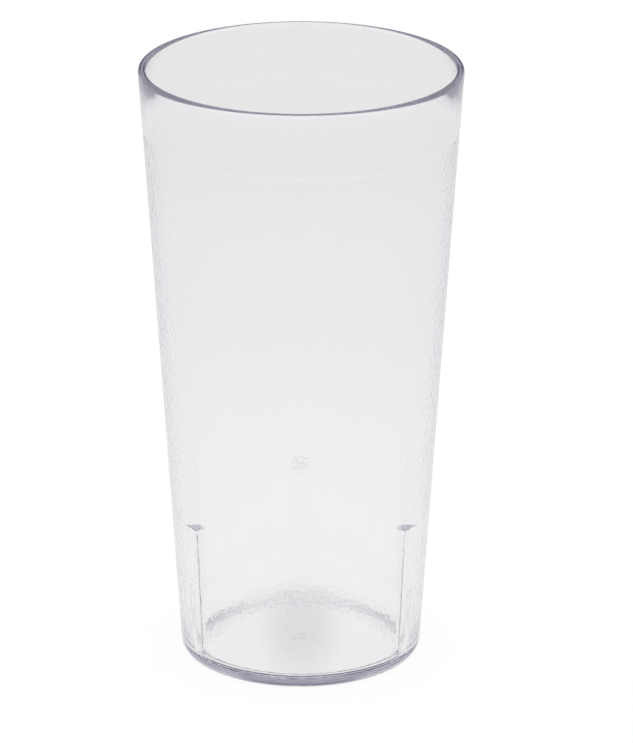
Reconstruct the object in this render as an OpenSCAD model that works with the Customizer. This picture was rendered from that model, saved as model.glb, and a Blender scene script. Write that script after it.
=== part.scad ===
// Stackable plastic tumbler, moulded in one piece.
// A tapered wall with a fully rounded lip, a plain drinking band above the textured wall,
// a rounded floor, stacking ribs inside and a shallow recess under the base.
// Millimetres. The axis is Z and the cup stands on Z = 0.

/* [Cup] */
// Outside diameter of the drinking band's cone at the top of the lip
top_d = 84; // [76:0.5:96]
// Outside diameter of the same cone on the table
base_d = 63.2; // [62:0.2:70]
// Height from the table to the top of the lip
height = 160.3; // [120:0.1:200]

/* [Wall and floor] */
// Thickness of the textured wall, square to its surface
wall = 2; // [1.4:0.1:2.6]
// Thickness of the floor inside the foot
floor_t = 2.2; // [1.4:0.1:3.5]
// Radius of the outside corner between the wall and the base
base_corner_r = 2.6; // [1.5:0.1:4]
// Radius of the inside corner between the wall and the floor
floor_corner_r = 2.2; // [1:0.1:5]

/* [Drinking band] */
// Height of the plain band from its lower edge to the top of the lip
band_h = 16; // [8:0.5:30]
// How far the plain band stands out from the textured wall
band_step = 0.1; // [0.05:0.01:0.3]

/* [Stacking ribs] */
// Number of ribs, evenly spaced round the inside
rib_count = 3; // [3:1:8]
// Height of the shelves on top of the ribs, where the next cup's base rests
shelf_h = 39.5; // [30:0.5:60]
// How far under the next cup's foot each shelf reaches
shelf_reach = 0.2; // [0.1:0.1:1.5]
// Width of the face of a rib that looks at the axis
rib_face_w = 3; // [1.5:0.1:6]
// Slope of each side of a rib, away from square to the wall
rib_side_slope = 20; // [5:1:40]

/* [Base] */
// Width of the flat ring that the cup stands on
foot_w = 1.4; // [1:0.1:5]
// Depth of the recess inside the foot
recess_h = 0.4; // [0.3:0.1:1.2]
// Radius of the round hollow about the gate mark
gate_hollow_r = 2; // [1.5:0.1:5]
// Depth of the hollow into the roof of the recess
gate_hollow_h = 0.2; // [0.1:0.05:0.6]
// Radius of the gate mark
gate_mark_r = 0.8; // [0.5:0.1:1.5]
// How far the gate mark hangs down from the middle of the hollow
gate_mark_h = 0.3; // [0.1:0.05:0.4]

/* [Hidden] */
$fn = 180;

// Slope of the wall from upright, and the directions square to it and along it.
draft = atan((top_d - base_d) / 2 / height);
outward = [cos(draft), -sin(draft)];
upward = [sin(draft), cos(draft)];

// Radius at height z of a face that lies the given depth under the band's face.
function face_r(depth, z) = base_d / 2 + z * tan(draft) - depth / cos(draft);

// The lip is one round that touches the band's face and the inside face.
lip_r = (wall + band_step) / 2;
lip_z = height - lip_r;
lip = [face_r(lip_r, lip_z), lip_z];

band_z = height - band_h;
floor_z = recess_h + floor_t;
base_corner = [face_r(band_step + base_corner_r, base_corner_r), base_corner_r];
floor_corner_z = floor_z + floor_corner_r;
floor_corner = [face_r(band_step + wall + floor_corner_r, floor_corner_z), floor_corner_z];
foot_r = base_corner[0];
rib_face_r = foot_r - shelf_reach;
gate_roof_z = recess_h + gate_hollow_h;

// Half section of the cup with its inside filled, up to the lip's middle.
module outside() {
    polygon([
        [0, 0],
        base_corner - [0, base_corner_r],
        base_corner + base_corner_r * outward,
        [face_r(band_step, band_z - band_step), band_z - band_step],
        [face_r(0, band_z), band_z],
        lip + lip_r * outward,
        lip - lip[0] / cos(draft) * outward
    ]);
    translate(base_corner) circle(r = base_corner_r);
}

// Half section of the space inside, made larger all round by grow.
module inside(grow) {
    corner_r = floor_corner_r + grow;
    polygon([
        [0, floor_z - grow],
        floor_corner - [0, corner_r],
        floor_corner + corner_r * outward,
        floor_corner + corner_r * outward + height * upward,
        [0, floor_corner[1] + height]
    ]);
    translate(floor_corner) circle(r = corner_r);
}

// Half section of the recess inside the foot, with a chamfered edge.
module recess() {
    polygon([
        [0, 0],
        [foot_r - foot_w, 0],
        [foot_r - foot_w - recess_h, recess_h],
        [0, recess_h]
    ]);
}

module shell() {
    rotate_extrude() {
        difference() {
            outside();
            inside(0);
            recess();
        }
        translate(lip) circle(r = lip_r);
    }
}

// An upright rib whose narrow face looks at the axis. Its root runs out past the wall.
module rib() {
    reach = face_r(0, shelf_h) - rib_face_r;
    face = rib_face_w / 2;
    root = face + reach * tan(rib_side_slope);
    linear_extrude(shelf_h)
        translate([rib_face_r, 0])
            polygon([[0, face], [0, -face], [reach, -root], [reach, root]]);
}

// The ribs end halfway into the wall and the floor.
module stacking_ribs() {
    intersection() {
        rotate_extrude() inside(wall / 2);
        for (i = [0 : rib_count - 1])
            rotate(90 + i * 360 / rib_count)
                rib();
    }
}

// The ball whose top is the hollow.
module gate_hollow() {
    ball_r = (gate_hollow_r ^ 2 + gate_hollow_h ^ 2) / (2 * gate_hollow_h);
    translate([0, 0, gate_roof_z - ball_r])
        sphere(r = ball_r);
}

module gate_mark() {
    translate([0, 0, gate_roof_z - gate_mark_h])
        cylinder(r = gate_mark_r, h = gate_mark_h + floor_t / 4);
}

module tumbler() {
    color([0.93, 0.93, 0.95, 0.5]) {
        difference() {
            shell();
            gate_hollow();
        }
        stacking_ribs();
        gate_mark();
    }
}

tumbler();
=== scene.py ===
"""A stackable drinking tumbler, moulded in one piece in clear plastic.

The cup is one closed surface: a half section turned about the upright axis, with a pebbled outer
wall and stacking ribs raised from the inside wall. Metres, +Z up, the cup stands on Z = 0.
"""

import math

import bpy
import numpy as np
from bpy.props import FloatProperty, FloatVectorProperty, IntProperty, PointerProperty
from bpy.types import Operator, Panel, PropertyGroup
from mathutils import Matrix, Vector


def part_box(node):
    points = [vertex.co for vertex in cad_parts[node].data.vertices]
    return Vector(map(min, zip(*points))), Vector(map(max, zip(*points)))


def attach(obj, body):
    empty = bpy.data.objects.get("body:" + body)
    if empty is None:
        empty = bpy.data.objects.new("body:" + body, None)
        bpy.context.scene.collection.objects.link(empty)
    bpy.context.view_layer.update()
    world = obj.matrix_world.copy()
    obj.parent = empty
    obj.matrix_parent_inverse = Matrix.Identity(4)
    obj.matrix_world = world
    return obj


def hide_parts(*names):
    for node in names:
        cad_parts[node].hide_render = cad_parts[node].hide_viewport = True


bl_info = {
    "name": "Stacking Tumbler",
    "version": (1, 0, 0),
    "blender": (4, 5, 0),
    "location": "View3D > Sidebar > Tumbler",
    "description": "Clear pebbled stacking tumbler with its finish and a plain studio",
    "category": "Add Mesh",
}

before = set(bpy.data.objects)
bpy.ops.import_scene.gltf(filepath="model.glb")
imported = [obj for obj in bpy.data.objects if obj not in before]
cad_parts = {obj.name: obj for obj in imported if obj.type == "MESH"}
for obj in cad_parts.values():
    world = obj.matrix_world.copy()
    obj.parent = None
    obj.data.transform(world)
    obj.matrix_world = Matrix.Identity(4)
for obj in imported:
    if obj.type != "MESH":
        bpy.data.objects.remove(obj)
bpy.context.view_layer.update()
CAD_LOW, CAD_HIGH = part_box("tumbler")
MM = 0.001

# The mesh's columns and the textured wall's rows, which keep the cup below 200,000 triangles.
COLUMNS, WALL_ROWS = 372, 176
# Height of the band's step, and how far the underside's edges are softened.
STEP_H, SOFT = 0.9 * MM, 0.15 * MM
# How evenly the columns lie at the middle of a rib, from 0 to 1.
RIB_SPREAD = 0.16
# Where in its cell a pebble's middle may lie, the pebble's radius, and the rows to spare below and
# above the wall, in cells.
PEBBLE_PLACE, PEBBLE_R, SPARE = (0.12, 0.88), 0.55, 2
# How far from the textured wall's lower and upper edge the texture reaches its full height.
FADE_LOW, FADE_HIGH = 1.5 * MM, 0.7 * MM
# Edges that turn by more than this angle stay sharp.
SHARP = math.radians(50)

# Width of the camera's sensor in millimetres, and the distances between which it sees.
SENSOR, CAMERA_CLIP = 36, (0.05, 50)
# Focal length fitted to the photo and the height of its frame, both in pixels.
FOCAL, FRAME_H = 5285.44, 743
# The floor's sides, its reflectance, and how bright it is for the camera in all.
FLOOR_SIDES, FLOOR_WHITE, FLOOR_SEEN = 64, 0.12, 1.02
# Distances from the axis over which the floor's painted light pool fades from near to middle to
# far.
LIGHT_POOL_NEAR_TO_MIDDLE, LIGHT_POOL_MIDDLE_TO_FAR = (0.04, 0.27), (0.33, 0.43)
# The foot's shadow: its radius, the distances from there and the y over which it ends.
CONTACT_R, CONTACT_EDGE, CONTACT_END = 28.1 * MM, (0.6 * MM, 1.8 * MM), (-18 * MM, -6 * MM)
# The oval shade under the cup: its middle's y, its half width and half length, and the parts of
# them over which it ends.
SHADE_Y, SHADE_HALF, SHADE_EDGE = 8 * MM, (14 * MM, 45 * MM), (0.2, 1)
# The gap between the back walls ends over these parts of a direction, sideways, up and forwards.
GAP_SIDE, GAP_TOP, GAP_FRONT = (0.25, 0.5), (0.2, 0.3), (-0.2, 0.2)
# The dark ceiling's direction, and the parts of a direction along it over which it begins.
CEILING, CEILING_EDGE = (0, -0.35, 0.94), (0.7, 0.85)


def length(name, description, default, **limits):
    """A size in metres that the panel shows as a distance."""
    return FloatProperty(
        name=name, description=description, default=default, unit="LENGTH", precision=5, **limits
    )


class TumblerSizes(PropertyGroup):
    """Sizes of the moulding."""

    top_d: length("Lip diameter", "Diameter of the band's cone at the top of the lip", 84 * MM)
    base_d: length("Base diameter", "Diameter of the band's cone on the table", 63.2 * MM)
    height: length("Height", "From the table to the top of the lip", CAD_HIGH.z)
    wall: length("Wall", "Thickness of the textured wall", 2 * MM)
    floor_t: length("Floor", "Thickness of the floor inside the foot", 2.2 * MM)
    base_corner_r: length("Base corner", "Outside radius between wall and base", 2.6 * MM)
    floor_corner_r: length("Floor corner", "Inside radius between wall and floor", 2.2 * MM)
    band_h: length("Band height", "From the plain band's edge to the top of the lip", 16 * MM)
    band_step: length("Band step", "How far the band stands out from the wall", 0.1 * MM)
    foot_w: length("Foot width", "Width of the ring that the cup stands on", 1.4 * MM)
    recess_h: length("Recess", "Depth of the recess inside the foot", 0.4 * MM)
    hollow_r: length("Hollow radius", "Radius of the hollow about the gate mark", 2 * MM)
    hollow_h: length("Hollow depth", "Depth of the hollow into the recess's roof", 0.2 * MM)
    gate_r: length("Gate mark radius", "Radius of the gate mark", 0.8 * MM)
    gate_h: length("Gate mark height", "Height of the gate mark", 0.3 * MM)


class RibSizes(PropertyGroup):
    """Sizes of the stacking ribs."""

    count: IntProperty(name="Ribs", description="Ribs round the inside", default=3, min=1)
    shelf_h: length("Shelf height", "Height of the ribs' tops above the table", 39.5 * MM)
    shelf_rise: length("Shelf rise", "Rise of a shelf from its edge to the wall", 0.12 * MM)
    reach: length("Shelf reach", "How far a shelf reaches under the next cup's foot", 0.2 * MM)
    face_w: length("Face width", "Width of the face that looks at the axis", 3 * MM)
    side_slope: FloatProperty(
        name="Side slope", description="Slope of each side, away from square to the wall",
        default=math.radians(20), subtype="ANGLE",
    )
    edge_r: length("Edge radius", "Rounding of the ribs' edges", 0.35 * MM)


class PebbleSizes(PropertyGroup):
    """The raised texture on the outside of the wall."""

    pitch: length("Pitch", "Distance between pebbles at the lip's end of the wall", 1.6 * MM)
    rise: length("Rise", "Height of a pebble", 0.02 * MM)
    seed: IntProperty(name="Seed", description="Chooses the pebbles' places", default=7)
    grain: length("Grain", "Width of the fine grain on the pebbles", 1.3 * MM)
    grain_rise: length("Grain rise", "Height of the fine grain", 0.065 * MM)


class PlasticFinish(PropertyGroup):
    """The clear plastic."""

    ior: FloatProperty(name="Refraction", description="Index of refraction", default=1.57)
    polish: FloatProperty(
        name="Polish", description="Roughness of the smooth faces", default=0.05, subtype="FACTOR"
    )
    frost: FloatProperty(
        name="Frost", description="Roughness of the pebbled face", default=0.1, subtype="FACTOR"
    )
    tint: FloatVectorProperty(
        name="Tint", description="Colour that a thick stretch turns to", subtype="COLOR",
        default=(0.08, 0.08, 0.4),
    )
    depth: FloatProperty(
        name="Tint density", description="How fast the tint builds up, per metre", default=5.5
    )


class StudioSettings(PropertyGroup):
    """The camera, the floor and the light."""

    distance: length(
        "Distance", "From the camera to the point on the axis that it is set by", 1.3842
    )
    aim_h: length("Aim height", "Height of that point above the table", 76.95 * MM)
    elevation: FloatProperty(
        name="Elevation", description="How far the camera looks down", subtype="ANGLE",
        default=0.3523132,
    )
    turn: FloatProperty(
        name="Turn", description="How far the camera turns right of the axis", subtype="ANGLE",
        default=0.00294,
    )
    roll: FloatProperty(
        name="Roll", description="How far the camera leans", subtype="ANGLE", default=0.00085
    )
    lens: FloatProperty(
        name="Lens", description="Focal length in millimetres", default=FOCAL * SENSOR / FRAME_H
    )
    floor_r: length("Floor radius", "Radius of the round floor", 4.0)
    light: FloatProperty(
        name="Light", description="Strength of the even light", default=0.95, subtype="FACTOR"
    )
    walls: FloatVectorProperty(
        name="Walls", description="Colour of the studio's walls as the plastic shows them",
        subtype="COLOR", default=(1, 1, 1),
    )
    gap: FloatVectorProperty(
        name="Gap and ceiling",
        description="Colour of the gap between the back walls and of the ceiling in the plastic",
        subtype="COLOR", default=(0.03, 0.03, 0.12),
    )
    # Near, middle and far floor: a painted pool of light, brightest about the cup and dimmer
    # farther off.
    near: FloatVectorProperty(
        name="Near floor", description="Colour of the floor near the cup as the plastic shows it",
        subtype="COLOR", default=(0.935, 0.93, 0.926),
    )
    middle: FloatVectorProperty(
        name="Middle floor",
        description="Colour of the floor behind the cup as the plastic shows it",
        subtype="COLOR", default=(0.853, 0.849, 0.865),
    )
    far: FloatVectorProperty(
        name="Far floor", description="Colour of the floor far off as the plastic shows it",
        subtype="COLOR", default=(0.818, 0.801, 0.801),
    )
    shade: FloatVectorProperty(
        name="Shaded floor", description="Glow of the floor's shade as the plastic shows it",
        subtype="COLOR", default=(0.64, 0.62, 0.63),
    )
    contact: FloatVectorProperty(
        name="Floor at the foot",
        description="Glow of the floor in the foot's shadow as the plastic shows it",
        subtype="COLOR", default=(0.04, 0.04, 0.12),
    )
    bounces: IntProperty(
        name="Bounces", description="How often light turns inside the plastic", default=200, min=12
    )


def line(start, end, count):
    """Points (1 - t) start + t end for count even values of t from 0, leaving the end out."""
    t = np.linspace(0, 1, count, endpoint=False)[:, None]
    return (1 - t) * np.asarray(start) + t * np.asarray(end)


def arc(centre, radius, start, end, count):
    """Points centre + radius (cos a, sin a) for count even angles a, leaving the end out."""
    a = np.linspace(start, end, count, endpoint=False)
    return np.asarray(centre) + radius * np.stack([np.cos(a), np.sin(a)], axis=1)


def smooth_min(a, b, k):
    """The smaller of a and b, with the corner between them rounded over a width of k."""
    h = np.clip(0.5 + 0.5 * (b - a) / k, 0, 1)
    return b * (1 - h) + a * h - k * h * (1 - h)


class Moulding:
    """The half section's named lines and places, worked out from the sizes."""

    def __init__(self, s, ribs):
        self.s = s
        self.draft = math.atan((s.top_d - s.base_d) / 2 / s.height)
        self.outward = np.array([math.cos(self.draft), -math.sin(self.draft)])
        self.lip_r = (s.wall + s.band_step) / 2
        lip_z = s.height - self.lip_r
        self.lip = np.array([self.face_r(self.lip_r, lip_z), lip_z])
        self.band_z = s.height - s.band_h
        self.floor_z = s.recess_h + s.floor_t
        corner = s.base_corner_r
        self.base_corner = np.array([self.face_r(s.band_step + corner, corner), corner])
        corner = s.floor_corner_r
        corner_z = self.floor_z + corner
        self.inside_depth = s.band_step + s.wall
        self.floor_corner = np.array([self.face_r(self.inside_depth + corner, corner_z), corner_z])
        self.rib_face_r = self.base_corner[0] - ribs.reach

    def face_r(self, depth, z):
        """Radius at height z of the cone that lies depth under the band's face."""
        return self.s.base_d / 2 + z * math.tan(self.draft) - depth / math.cos(self.draft)

    def inside_r(self, z):
        """Radius of the plain inside wall at height z."""
        return self.face_r(self.inside_depth, z)


def underside(m):
    """Half section from the gate mark over its hollow, the recess and the foot to the wall.

    At radius r the hollow of depth h and radius c rises by h (1 - (r / c)^2)^2, and the gate mark
    hangs down from it in the same way.
    """
    s = m.s
    foot_in = m.base_corner[0] - s.foot_w
    recess_r = foot_in - s.recess_h
    r = s.hollow_r * np.linspace(0.08, 1, 11)
    hollow = s.hollow_h * np.clip(1 - (r / s.hollow_r) ** 2, 0, 1) ** 2
    mark = s.gate_h * np.clip(1 - (r / s.gate_r) ** 2, 0, 1) ** 2
    return np.concatenate([
        np.stack([r, s.recess_h + hollow - mark], axis=1),
        line((recess_r / 2, s.recess_h), (recess_r - SOFT, s.recess_h), count=2),
        line((recess_r - SOFT, s.recess_h), (recess_r + SOFT, s.recess_h - SOFT), count=1),
        line((recess_r + SOFT, s.recess_h - SOFT), (foot_in - SOFT, SOFT), count=1),
        line((foot_in - SOFT, SOFT), (foot_in + SOFT, 0), count=1),
        line((foot_in + SOFT, 0), (m.base_corner[0], 0), count=1),
        arc(m.base_corner, s.base_corner_r, -math.pi / 2, -m.draft, count=14),
    ])


def outer_wall(m):
    """Half section of the textured wall, from the base corner up to the band's step.

    The steps grow with the radius, as the pebbles do.
    """
    start = m.base_corner + m.s.base_corner_r * m.outward
    step_z = m.band_z - m.s.band_step
    end = np.array([m.face_r(m.s.band_step, step_z), step_z])
    growth = end[0] / start[0]
    t = (growth ** np.linspace(0, 1, WALL_ROWS, endpoint=False) - 1) / (growth - 1)
    return (1 - t[:, None]) * start + t[:, None] * end


def band_and_lip(m):
    """Half section of the band's step, the band and the round lip, ending inside the lip.

    The step goes over from the textured wall to the band as t^2 (3 - 2 t).
    """
    s = m.s
    t = np.linspace(0, 1, 6)
    ease = t * t * (3 - 2 * t)
    z = m.band_z - s.band_step + t * STEP_H
    return np.concatenate([
        np.stack([m.face_r(s.band_step * (1 - ease), z), z], axis=1),
        line((m.face_r(0, z[-1]), z[-1]), m.lip + m.lip_r * m.outward, count=3)[1:],
        arc(m.lip, m.lip_r, -m.draft, math.pi - m.draft, count=14),
    ])


def inside_wall(m, ribs):
    """Half section of the inside from the lip down to the floor's middle.

    Returns the points and, for each, how far the ribs are drawn back there: out of sight above the
    shelves, and nothing below the shelves' rounded edge.
    """
    shelf, edge = ribs.shelf_h, ribs.edge_r
    top_z = shelf + ribs.shelf_rise
    drawn = m.inside_r(shelf) - m.rib_face_r + 2 * edge
    upper_end = (m.inside_r(top_z + edge), top_z + edge)
    upper = line(m.lip - m.lip_r * m.outward, upper_end, count=7)
    z = top_z + np.array([edge, edge / 3])
    upper = np.concatenate([upper, np.stack([m.inside_r(z), z], axis=1)])
    z = np.linspace(top_z, shelf, 6, endpoint=False)
    shelves = np.stack([m.inside_r(z), z], axis=1)
    shelves_drawn = np.linspace(drawn, edge, 6, endpoint=False)
    a = np.linspace(0, math.pi / 2, 4, endpoint=False)
    z = shelf - edge * (1 - np.cos(a))
    edges = np.stack([m.inside_r(z), z], axis=1)
    edges_drawn = edge * (1 - np.sin(a))
    low_z = shelf - edge
    lower_end = m.floor_corner + m.s.floor_corner_r * m.outward
    lower = line((m.inside_r(low_z), low_z), lower_end, count=6)
    corner = arc(m.floor_corner, m.s.floor_corner_r, -m.draft, -math.pi / 2, count=8)
    floor_r = m.floor_corner[0]
    floor = line((floor_r, m.floor_z), (floor_r / 12, m.floor_z), count=3)
    points = np.concatenate([upper, shelves, edges, lower, corner, floor])
    plain = len(lower) + len(corner) + len(floor)
    gone = np.full(len(upper), m.s.top_d)
    back = np.concatenate([gone, shelves_drawn, edges_drawn, np.zeros(plain)])
    return points, back


def rib_outline(angle, m, ribs):
    """Distance from the axis to a rib's surface, at an angle from the rib's middle.

    In the rib's plan, x along its middle line and y across it, the face is x = f and the sides are
    |y| = w / 2 + (x - f) tan(slope). Along an angle a these lie at f / cos(a) and at
    (f tan(slope) - w / 2) / (tan(slope) cos(a) - |sin(a)|), and the farther one is the surface.
    """
    slope = math.tan(ribs.side_slope)
    face = m.rib_face_r / np.cos(angle)
    spread = slope * np.cos(angle) - np.abs(np.sin(angle))
    far = 2 * m.s.top_d
    side = (m.rib_face_r * slope - ribs.face_w / 2) / np.maximum(spread, 1e-3)
    side = np.where(spread > 1e-3, np.minimum(side, far), far)
    return -smooth_min(-face, -side, ribs.edge_r)


def gathered_angles(ribs, share):
    """Angles round the axis, one row for each value of share.

    At share 0 the columns are even. At share 1 they crowd at the ribs: with x from -1 to 1 between
    the midpoints next to a rib, the angle from it goes as g x + (1 - g) x^3, with g = RIB_SPREAD.
    """
    sector = 2 * math.pi / ribs.count
    even = np.arange(COLUMNS) * 2 * math.pi / COLUMNS
    middle = np.round(even / sector) * sector
    x = (even - middle) / (sector / 2)
    crowded = middle + (RIB_SPREAD * x + (1 - RIB_SPREAD) * x**3) * sector / 2
    share = np.asarray(share)[:, None]
    return math.pi / 2 + (1 - share) * even + share * crowded


def pebble_height(angle, radius, m, pebbles):
    """Height from 0 to 1 of round-topped pebbles in jittered cells on the wall's cone.

    Cells are square in the angle u and v = ln(radius) / sin(draft), so that they stay square as the
    cone narrows. A point's height is a smooth cap, exp(-(d / r)^4), of its distance d from the
    nearest pebble's middle, in cells.
    """
    around = round(math.pi * m.s.top_d / pebbles.pitch)
    cell = 2 * math.pi / around
    u = (angle / cell) % around
    v = np.log(radius) / math.sin(m.draft) / cell
    v = v - v.min() + SPARE
    rows = int(v.max()) + 2 * SPARE
    place = np.random.default_rng(pebbles.seed).uniform(*PEBBLE_PLACE, (around, rows, 2))
    nearest = np.full(np.broadcast(u, v).shape, np.inf)
    for i in (-1, 0, 1):
        for j in (-1, 0, 1):
            column = np.floor(u).astype(int) + i
            row = np.floor(v).astype(int) + j
            spot = place[column % around, row]
            distance = np.hypot(column + spot[..., 0] - u, row + spot[..., 1] - v)
            nearest = np.minimum(nearest, distance)
    return np.exp(-((nearest / PEBBLE_R) ** 4))


def closed_mesh(name, points, bottom, top):
    """A closed mesh of rings. points has the shape (rings, columns, 3).

    Quads join each ring to the next, and fans join the first and last rings to the points bottom
    and top. Rings run so that the faces look away from the solid.
    """
    rings, columns = points.shape[:2]
    index = np.arange(rings * columns).reshape(rings, columns)
    right = np.roll(index, -1, axis=1)
    quads = np.stack([index[:-1], right[:-1], right[1:], index[1:]], axis=-1).reshape(-1, 4)
    low, high = rings * columns, rings * columns + 1
    fan_low = np.stack([right[0], index[0], np.full(columns, low)], axis=-1)
    fan_high = np.stack([index[-1], right[-1], np.full(columns, high)], axis=-1)
    places = np.concatenate([points.reshape(-1, 3), [bottom, top]])
    mesh = bpy.data.meshes.new(name)
    mesh.from_pydata(places, [], quads.tolist() + fan_low.tolist() + fan_high.tolist())
    mesh.polygons.foreach_set("use_smooth", np.ones(len(mesh.polygons), bool))
    return mesh


def tumbler_mesh(settings):
    """The whole cup: the half section's points turned about the axis, pebbled and ribbed.

    A point at radius r and angle a lies at (r cos a, r sin a, z). Pebbles push the textured wall
    out along its normal. The ribs take the inside radius down to their own outline.
    """
    s, ribs, pebbles = settings.sizes, settings.ribs, settings.pebbles
    m = Moulding(s, ribs)
    under, wall, band = underside(m), outer_wall(m), band_and_lip(m)
    inside, drawn_back = inside_wall(m, ribs)
    section = np.concatenate([under, wall, band, inside])
    first_wall = len(under)
    first_inside = first_wall + len(wall) + len(band)
    share = np.zeros(len(section))
    ribbed = drawn_back < drawn_back.max()
    upper = np.count_nonzero(~ribbed)
    share[first_inside:] = 1
    share[first_inside:first_inside + upper] = np.linspace(0, 1, upper)
    angle = gathered_angles(ribs, share)
    radius = np.repeat(section[:, :1], COLUMNS, axis=1)
    z = np.repeat(section[:, 1:], COLUMNS, axis=1)

    wall_rings = slice(first_wall, first_wall + WALL_ROWS)
    along = wall[:, 1] - wall[0, 1]
    fade = np.clip(along / FADE_LOW, 0, 1) * np.clip((along[-1] - along) / FADE_HIGH, 0, 1)
    rise = pebble_height(angle[wall_rings], radius[wall_rings], m, pebbles) * fade[:, None]
    radius[wall_rings] += pebbles.rise * rise * m.outward[0]
    z[wall_rings] += pebbles.rise * rise * m.outward[1]

    sector = 2 * math.pi / ribs.count
    from_rib = angle[first_inside:] - math.pi / 2
    from_rib = from_rib - np.round(from_rib / sector) * sector
    outline = rib_outline(from_rib, m, ribs) + drawn_back[:, None]
    radius[first_inside:] = smooth_min(radius[first_inside:], outline, ribs.edge_r)

    points = np.stack([radius * np.cos(angle), radius * np.sin(angle), z], axis=-1)
    tip = s.recess_h + s.hollow_h - s.gate_h
    mesh = closed_mesh("tumbler_cup", points, (0, 0, tip), (0, 0, m.floor_z))
    mesh.set_sharp_from_angle(angle=SHARP)
    textured = np.zeros(points.shape[:2], np.float32)
    textured[wall_rings] = fade[:, None]
    attribute = mesh.attributes.new("textured", "FLOAT", "POINT")
    attribute.data.foreach_set("value", np.append(textured.ravel(), [0, 0]).astype(np.float32))
    return mesh


def clear_plastic(settings):
    """Clear plastic that tints along thick stretches, with a fine grain on the textured face."""
    finish, pebbles = settings.finish, settings.pebbles
    material = bpy.data.materials.new("clear_pebbled_plastic")
    material.use_nodes = True
    nodes, links = material.node_tree.nodes, material.node_tree.links
    shader = nodes["Principled BSDF"]
    shader.inputs["Base Color"].default_value = (1, 1, 1, 1)
    shader.inputs["IOR"].default_value = finish.ior
    shader.inputs["Transmission Weight"].default_value = 1

    textured = nodes.new("ShaderNodeAttribute")
    textured.attribute_name = "textured"
    roughness = nodes.new("ShaderNodeMapRange")
    roughness.inputs["To Min"].default_value = finish.polish
    roughness.inputs["To Max"].default_value = finish.frost
    links.new(textured.outputs["Fac"], roughness.inputs["Value"])
    links.new(roughness.outputs["Result"], shader.inputs["Roughness"])

    place = nodes.new("ShaderNodeTexCoord")
    grain = nodes.new("ShaderNodeTexNoise")
    grain.inputs["Scale"].default_value = 1 / pebbles.grain
    grain.inputs["Detail"].default_value = 2
    height = nodes.new("ShaderNodeMath")
    height.operation = "MULTIPLY"
    bump = nodes.new("ShaderNodeBump")
    bump.inputs["Distance"].default_value = pebbles.grain_rise
    links.new(place.outputs["Object"], grain.inputs["Vector"])
    links.new(grain.outputs["Fac"], height.inputs[0])
    links.new(textured.outputs["Fac"], height.inputs[1])
    links.new(height.outputs["Value"], bump.inputs["Height"])
    links.new(bump.outputs["Normal"], shader.inputs["Normal"])

    absorb = nodes.new("ShaderNodeVolumeAbsorption")
    absorb.inputs["Color"].default_value = (*finish.tint, 1)
    absorb.inputs["Density"].default_value = finish.depth
    links.new(absorb.outputs["Volume"], nodes["Material Output"].inputs["Volume"])
    return material


class MESH_OT_add_stacking_tumbler(Operator):
    """Add the tumbler, one closed surface in clear pebbled plastic"""

    bl_idname = "mesh.add_stacking_tumbler"
    bl_label = "Add Tumbler"

    def execute(self, context):
        settings = context.scene.tumbler
        piece = bpy.data.objects.new("tumbler_cup", tumbler_mesh(settings))
        context.scene.collection.objects.link(piece)
        piece.data.materials.append(clear_plastic(settings))
        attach(piece, "root")
        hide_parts("tumbler")
        return {"FINISHED"}


def ray_kinds(nodes, links):
    """Sockets that are 1 for camera rays, and 1 for rays that show the studio in the plastic."""
    path = nodes.new("ShaderNodeLightPath")
    shown = nodes.new("ShaderNodeMath")
    shown.operation = "MAXIMUM"
    links.new(path.outputs["Is Glossy Ray"], shown.inputs[0])
    links.new(path.outputs["Is Transmission Ray"], shown.inputs[1])
    return path.outputs["Is Camera Ray"], shown.outputs["Value"]


def mixed_colour(nodes, links, factor, start, end):
    """Colour start where factor is 0 and end where it is 1. Each is a colour or a socket.

    A Mix node's sockets 6 and 7 and its output 2 are the ones for colours.
    """
    mix = nodes.new("ShaderNodeMix")
    mix.data_type = "RGBA"
    links.new(factor, mix.inputs["Factor"])
    for value, socket in ((start, mix.inputs[6]), (end, mix.inputs[7])):
        if isinstance(value, bpy.types.NodeSocket):
            links.new(value, socket)
        else:
            socket.default_value = (*value, 1)
    return mix.outputs[2]


def eased(nodes, links, value, low, high):
    """A socket that goes smoothly from 0 where value is low to 1 where it is high."""
    ease = nodes.new("ShaderNodeMapRange")
    ease.interpolation_type = "SMOOTHSTEP"
    ease.inputs["From Min"].default_value = low
    ease.inputs["From Max"].default_value = high
    links.new(value, ease.inputs["Value"])
    return ease.outputs["Result"]


def vector_math(nodes, links, operation, source, *values):
    """The output of a vector operation on a socket and fixed vectors."""
    step = nodes.new("ShaderNodeVectorMath")
    step.operation = operation
    links.new(source, step.inputs[0])
    for value, socket in zip(values, step.inputs[1:]):
        socket.default_value = value
    return step.outputs["Value" if operation in ("LENGTH", "DOT_PRODUCT") else "Vector"]


def studio_world(studio):
    """A white studio all round, which the plastic shows with a dark gap behind and a dark ceiling.

    In a direction d the gap goes over to the walls as |d.x| goes through GAP_SIDE, as d.z goes
    through GAP_TOP and as -d.y goes through GAP_FRONT. The ceiling begins as the part of d along
    CEILING goes through CEILING_EDGE.
    """
    world = bpy.data.worlds.new("studio_world")
    world.use_nodes = True
    nodes, links = world.node_tree.nodes, world.node_tree.links
    direction = nodes.new("ShaderNodeTexCoord").outputs["Generated"]
    folded = vector_math(nodes, links, "ABSOLUTE", direction)
    colour = studio.gap
    for source, axis, ends, next_colour in (
        (folded, (1, 0, 0), GAP_SIDE, studio.walls),
        (direction, (0, 0, 1), GAP_TOP, studio.walls),
        (direction, (0, -1, 0), GAP_FRONT, studio.walls),
        (direction, CEILING, CEILING_EDGE, studio.gap),
    ):
        along = vector_math(nodes, links, "DOT_PRODUCT", source, axis)
        share = eased(nodes, links, along, *ends)
        colour = mixed_colour(nodes, links, share, colour, next_colour)
    camera, shown = ray_kinds(nodes, links)
    indirect = mixed_colour(nodes, links, shown, [studio.light] * 3, colour)
    whole = mixed_colour(nodes, links, camera, indirect, (1, 1, 1))
    links.new(whole, nodes["Background"].inputs["Color"])
    return world


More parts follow.
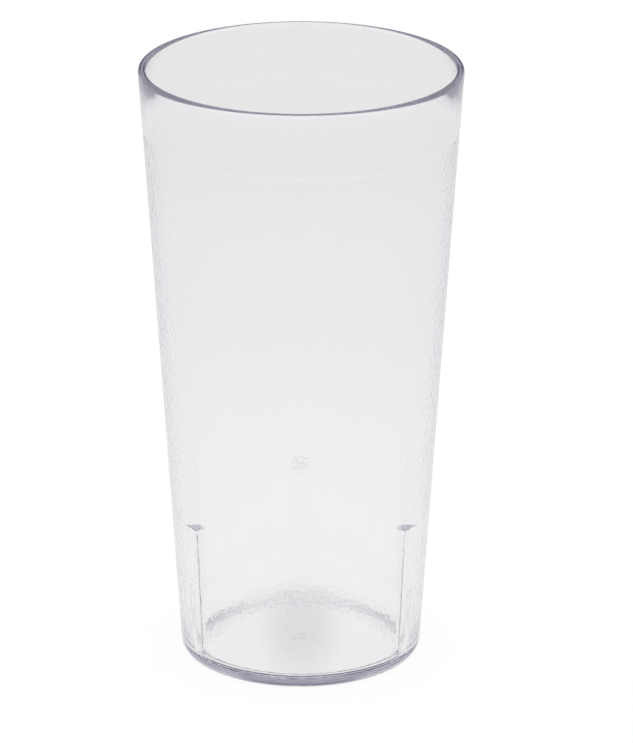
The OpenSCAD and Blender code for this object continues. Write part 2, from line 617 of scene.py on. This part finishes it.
def foot_shadow(nodes, links, place, distance):
    """A socket that is 0 in the foot's shadow, a ring in front of the axis, and 1 clear of it."""
    for operation, value in (("SUBTRACT", CONTACT_R), ("ABSOLUTE", 0)):
        step = nodes.new("ShaderNodeMath")
        step.operation = operation
        step.inputs[1].default_value = value
        links.new(distance, step.inputs[0])
        distance = step.outputs["Value"]
    behind = vector_math(nodes, links, "DOT_PRODUCT", place, (0, 1, 0))
    either = nodes.new("ShaderNodeMath")
    either.operation = "MAXIMUM"
    links.new(eased(nodes, links, distance, *CONTACT_EDGE), either.inputs[0])
    links.new(eased(nodes, links, behind, *CONTACT_END), either.inputs[1])
    return either.outputs["Value"]


def shown_floor(nodes, links, studio, lit):
    """The floor's glow as the plastic shows it, which with its own light lit makes its colours.

    The colour is a painted pool of light: near about the cup, going over to the dimmer middle and
    far with the distance from the axis. The foot's painted shadow and a painted oval shade under
    the cup lie on it.
    """
    place = nodes.new("ShaderNodeTexCoord").outputs["Object"]
    distance = vector_math(nodes, links, "LENGTH", place)
    # Painted pool of light: brightest near the cup, fading to middle and far with the distance.
    glow = [value - lit for value in studio.near]
    for colour, ends in ((studio.middle, LIGHT_POOL_NEAR_TO_MIDDLE), (studio.far, LIGHT_POOL_MIDDLE_TO_FAR)):
        fall = nodes.new("ShaderNodeMapRange")
        fall.inputs["From Min"].default_value, fall.inputs["From Max"].default_value = ends
        links.new(distance, fall.inputs["Value"])
        colour = [value - lit for value in colour]
        glow = mixed_colour(nodes, links, fall.outputs["Result"], glow, colour)
    clear = foot_shadow(nodes, links, place, distance)
    glow = mixed_colour(nodes, links, clear, studio.contact, glow)
    wide, long = SHADE_HALF
    size, middle = (1 / wide, 1 / long, 0), (0, -SHADE_Y / long, 0)
    oval = vector_math(nodes, links, "MULTIPLY_ADD", place, size, middle)
    clear = eased(nodes, links, vector_math(nodes, links, "LENGTH", oval), *SHADE_EDGE)
    return mixed_colour(nodes, links, clear, studio.shade, glow)


def studio_floor(studio):
    """A round white floor at Z = 0 that keeps a faint shadow.

    For the camera its glow adds to the light on it, up to white. The plastic shows it in the
    colours of shown_floor: a painted pool of light about the cup, with painted shadow and shade.
    """
    mesh = bpy.data.meshes.new("studio_floor")
    a = np.arange(FLOOR_SIDES) * 2 * math.pi / FLOOR_SIDES
    ring = np.stack([studio.floor_r * np.cos(a), studio.floor_r * np.sin(a), 0 * a], axis=1)
    mesh.from_pydata(ring, [], [list(range(FLOOR_SIDES))])
    material = bpy.data.materials.new("studio_floor")
    material.use_nodes = True
    nodes, links = material.node_tree.nodes, material.node_tree.links
    shader = nodes["Principled BSDF"]
    lit = FLOOR_WHITE * studio.light
    shader.inputs["Base Color"].default_value = (FLOOR_WHITE, FLOOR_WHITE, FLOOR_WHITE, 1)
    shader.inputs["Roughness"].default_value = 1
    shader.inputs["Specular IOR Level"].default_value = 0
    shader.inputs["Emission Strength"].default_value = 1
    camera, shown = ray_kinds(nodes, links)
    glow = shown_floor(nodes, links, studio, lit)
    indirect = mixed_colour(nodes, links, shown, (0, 0, 0), glow)
    whole = mixed_colour(nodes, links, camera, indirect, [FLOOR_SEEN - lit] * 3)
    links.new(whole, shader.inputs["Emission Color"])
    mesh.materials.append(material)
    floor = bpy.data.objects.new("studio_floor", mesh)
    bpy.context.scene.collection.objects.link(floor)
    return floor


def studio_camera(studio):
    """The camera, set by a point on the axis, its distance from it and how far it looks down."""
    data = bpy.data.cameras.new("studio_camera")
    data.sensor_width = SENSOR
    data.lens = studio.lens
    data.clip_start, data.clip_end = CAMERA_CLIP
    camera = bpy.data.objects.new("studio_camera", data)
    bpy.context.scene.collection.objects.link(camera)
    down, away = math.sin(studio.elevation), math.cos(studio.elevation)
    camera.location = (0, -studio.distance * away, studio.aim_h + studio.distance * down)
    camera.rotation_mode = "ZYX"
    camera.rotation_euler = (math.pi / 2 - studio.elevation, -studio.turn, studio.roll)
    bpy.context.scene.camera = camera
    return camera


class SCENE_OT_add_tumbler_studio(Operator):
    """Add the white floor, the even light and the camera"""

    bl_idname = "scene.add_tumbler_studio"
    bl_label = "Add Studio"

    def execute(self, context):
        studio = context.scene.tumbler.studio
        context.scene.view_settings.view_transform = "Standard"
        cycles = context.scene.cycles
        cycles.max_bounces = cycles.glossy_bounces = cycles.transmission_bounces = studio.bounces
        context.scene.world = studio_world(studio)
        studio_floor(studio)
        studio_camera(studio)
        return {"FINISHED"}


class TumblerSettings(PropertyGroup):
    """Everything that the panel shows."""

    sizes: PointerProperty(type=TumblerSizes)
    ribs: PointerProperty(type=RibSizes)
    pebbles: PointerProperty(type=PebbleSizes)
    finish: PointerProperty(type=PlasticFinish)
    studio: PointerProperty(type=StudioSettings)


class VIEW3D_PT_stacking_tumbler(Panel):
    """The tumbler's sizes, finish and studio"""

    bl_idname = "VIEW3D_PT_stacking_tumbler"
    bl_label = "Stacking Tumbler"
    bl_space_type = "VIEW_3D"
    bl_region_type = "UI"
    bl_category = "Tumbler"

    def draw(self, context):
        settings = context.scene.tumbler
        for group in ("sizes", "ribs", "pebbles", "finish", "studio"):
            box = self.layout.box()
            box.label(text=group.capitalize())
            values = getattr(settings, group)
            for name in type(values).__annotations__:
                box.prop(values, name)
        self.layout.operator(MESH_OT_add_stacking_tumbler.bl_idname)
        self.layout.operator(SCENE_OT_add_tumbler_studio.bl_idname)


CLASSES = (
    TumblerSizes, RibSizes, PebbleSizes, PlasticFinish, StudioSettings, TumblerSettings,
    MESH_OT_add_stacking_tumbler, SCENE_OT_add_tumbler_studio, VIEW3D_PT_stacking_tumbler,
)


def register():
    for cls in CLASSES:
        bpy.utils.register_class(cls)
    bpy.types.Scene.tumbler = PointerProperty(type=TumblerSettings)


def unregister():
    del bpy.types.Scene.tumbler
    for cls in reversed(CLASSES):
        bpy.utils.unregister_class(cls)


def main():
    """Builds the cup and the studio."""
    register()
    bpy.ops.scene.add_tumbler_studio()
    bpy.ops.mesh.add_stacking_tumbler()
    bpy.context.view_layer.update()


if __name__ == "__main__":
    main()
